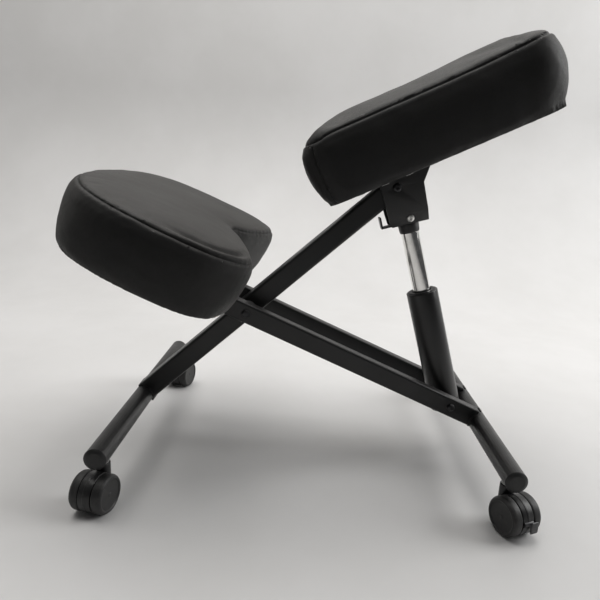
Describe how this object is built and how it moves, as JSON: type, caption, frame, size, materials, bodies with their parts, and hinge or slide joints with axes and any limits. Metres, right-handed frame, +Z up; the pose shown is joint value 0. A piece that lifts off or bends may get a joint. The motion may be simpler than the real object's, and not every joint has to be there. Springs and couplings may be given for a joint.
{
  "type": "kneeling chair",
  "caption": "Kneeling chair with a sloping padded seat and a kidney-shaped knee pad on a crossed steel frame, with a gas lift under the seat and twin-wheel casters.",
  "frame": {"origin": "on the floor, under the middle of the whole chair's box", "axes": "+X towards the rear, where the seat is; +Y to the left side, where the lift's lever is; +Z up"},
  "size_m": [0.6745, 0.4966, 0.622],
  "materials": {
    "frame": "satin black powder coat",
    "column": "semi-gloss black paint",
    "bracket": "satin black powder coat",
    "chrome": "polished hard chrome",
    "zinc": "bright zinc plate",
    "black_bolt": "black oxide steel",
    "nylon": "moulded black nylon, low gloss",
    "cap": "moulded black polyethylene",
    "cover": "black leatherette over foam",
    "ply": "plain plywood",
    "bush": "dark grey nylon",
    "steel": "plain turned steel"
  },
  "bodies": {
    "arm_frame": {"arm_near": "frame", "arm_far": "frame", "arm_plug_near": "cap", "arm_plug_far": "cap", "rear_cross_tube": "frame", "rear_end_cap_near": "cap", "rear_end_cap_far": "cap", "x_pivot_bolt": "black_bolt", "x_pivot_nut": "black_bolt", "x_pivot_sleeve": "steel", "pivot_spacer_near": "bush", "pivot_spacer_far": "bush", "lower_pivot_bolt": "black_bolt", "lower_pivot_nut": "black_bolt", "lower_pivot_sleeve": "steel", "knee_board": "ply", "knee_cushion": "cover"},
    "beam": {"main_beam": "frame", "front_cross_tube": "frame", "front_end_cap_near": "cap", "front_end_cap_far": "cap"},
    "column": {"gas_column": "column", "column_foot_plug": "steel", "column_guide_bush": "bush"},
    "seat": {"gas_rod": "chrome", "taper_hub": "bracket", "seat_bracket": "bracket", "bracket_bolt": "black_bolt", "bracket_nut": "black_bolt", "bracket_washer_near": "bush", "bracket_washer_far": "bush", "seat_mount_plate": "bracket", "seat_board": "ply", "seat_cushion": "cover", "clamp_screw": "zinc"},
    "lever": {"release_lever": "black_bolt", "lever_grip": "nylon"},
    "valve": {"valve_pin": "steel"},
    "swivel_front_near": {"stem_front_near": "steel", "hood_front_near": "nylon", "axle_front_near": "steel"},
    "wheel_left_front_near": {"wheel_left_front_near": "nylon"},
    "wheel_right_front_near": {"wheel_right_front_near": "nylon"},
    "swivel_front_far": {"stem_front_far": "steel", "hood_front_far": "nylon", "axle_front_far": "steel"},
    "wheel_left_front_far": {"wheel_left_front_far": "nylon"},
    "wheel_right_front_far": {"wheel_right_front_far": "nylon"},
    "swivel_rear_near": {"stem_rear_near": "steel", "hood_rear_near": "nylon", "axle_rear_near": "steel"},
    "wheel_left_rear_near": {"wheel_left_rear_near": "nylon"},
    "wheel_right_rear_near": {"wheel_right_rear_near": "nylon"},
    "brake_rear_near": {"brake_pedal_rear_near": "nylon"},
    "swivel_rear_far": {"stem_rear_far": "steel", "hood_rear_far": "nylon", "axle_rear_far": "steel"},
    "wheel_left_rear_far": {"wheel_left_rear_far": "nylon"},
    "wheel_right_rear_far": {"wheel_right_rear_far": "nylon"},
    "brake_rear_far": {"brake_pedal_rear_far": "nylon"}
  },
  "joints": [
    {"name": "seat_lift", "type": "slide", "parent": "column", "child": "seat", "axis": [-0.2939, 0, 0.9558], "range_m": [-0.08, 0.03]},
    {"name": "x_pivot", "type": "hinge", "parent": "arm_frame", "child": "beam", "pos_m": [-0.08045, 0, 0.2387], "axis": [0, -1, 0], "range_deg": [-16.6, 6.3]},
    {"name": "column_pivot", "type": "hinge", "parent": "arm_frame", "child": "column", "pos_m": [0.25065, 0, 0.103], "axis": [0, -1, 0], "range_deg": [-5.7, 2.2]},
    {"name": "release_lever_lift", "type": "hinge", "parent": "seat", "child": "lever", "pos_m": [0.15397, 0.0255, 0.41747], "axis": [0.9558, 0, 0.2939], "range_deg": [0, 7], "stiffness_Nm_per_rad": 2, "springref_deg": -3.44},
    {"name": "valve_press", "type": "slide", "parent": "seat", "child": "valve", "axis": [0.2939, 0, -0.9558], "range_m": [0, 0.0034]},
    {"name": "swivel_front_near", "type": "hinge", "parent": "beam", "child": "swivel_front_near", "pos_m": [-0.25045, -0.197, 0.05], "axis": [0, 0, 1], "continuous": true},
    {"name": "roll_left_front_near", "type": "hinge", "parent": "swivel_front_near", "child": "wheel_left_front_near", "pos_m": [-0.25495, -0.21649, 0.0264], "axis": [-0.9744, 0.225, 0], "continuous": true},
    {"name": "roll_right_front_near", "type": "hinge", "parent": "swivel_front_near", "child": "wheel_right_front_near", "pos_m": [-0.25495, -0.21649, 0.0264], "axis": [-0.9744, 0.225, 0], "continuous": true},
    {"name": "swivel_front_far", "type": "hinge", "parent": "beam", "child": "swivel_front_far", "pos_m": [-0.25045, 0.197, 0.05], "axis": [0, 0, 1], "continuous": true},
    {"name": "roll_left_front_far", "type": "hinge", "parent": "swivel_front_far", "child": "wheel_left_front_far", "pos_m": [-0.24561, 0.21641, 0.0264], "axis": [0.9703, -0.2419, 0], "continuous": true},
    {"name": "roll_right_front_far", "type": "hinge", "parent": "swivel_front_far", "child": "wheel_right_front_far", "pos_m": [-0.24561, 0.21641, 0.0264], "axis": [0.9703, -0.2419, 0], "continuous": true},
    {"name": "swivel_rear_near", "type": "hinge", "parent": "arm_frame", "child": "swivel_rear_near", "pos_m": [0.29855, -0.197, 0.05], "axis": [0, 0, 1], "continuous": true},
    {"name": "roll_left_rear_near", "type": "hinge", "parent": "swivel_rear_near", "child": "wheel_left_rear_near", "pos_m": [0.30636, -0.21541, 0.0264], "axis": [-0.9205, -0.3907, 0], "continuous": true},
    {"name": "roll_right_rear_near", "type": "hinge", "parent": "swivel_rear_near", "child": "wheel_right_rear_near", "pos_m": [0.30636, -0.21541, 0.0264], "axis": [-0.9205, -0.3907, 0], "continuous": true},
    {"name": "brake_rear_near", "type": "hinge", "parent": "swivel_rear_near", "child": "brake_rear_near", "pos_m": [0.31611, -0.23837, 0.02814], "axis": [-0.9205, -0.3907, 0], "range_deg": [0, 14]},
    {"name": "swivel_rear_far", "type": "hinge", "parent": "arm_frame", "child": "swivel_rear_far", "pos_m": [0.29855, 0.197, 0.05], "axis": [0, 0, 1], "continuous": true},
    {"name": "roll_left_rear_far", "type": "hinge", "parent": "swivel_rear_far", "child": "wheel_left_rear_far", "pos_m": [0.30636, 0.21541, 0.0264], "axis": [0.9205, -0.3907, 0], "continuous": true},
    {"name": "roll_right_rear_far", "type": "hinge", "parent": "swivel_rear_far", "child": "wheel_right_rear_far", "pos_m": [0.30636, 0.21541, 0.0264], "axis": [0.9205, -0.3907, 0], "continuous": true},
    {"name": "brake_rear_far", "type": "hinge", "parent": "swivel_rear_far", "child": "brake_rear_far", "pos_m": [0.31611, 0.23837, 0.02814], "axis": [0.9205, -0.3907, 0], "range_deg": [0, 14]}
  ],
  "couplings": [
    {"joint": "x_pivot", "follows": "seat_lift", "rad_per_m": 3.5933},
    {"joint": "column_pivot", "follows": "seat_lift", "rad_per_m": 1.2224},
    {"joint": "valve_press", "follows": "release_lever_lift", "m_per_rad": 0.0255}
  ]
}
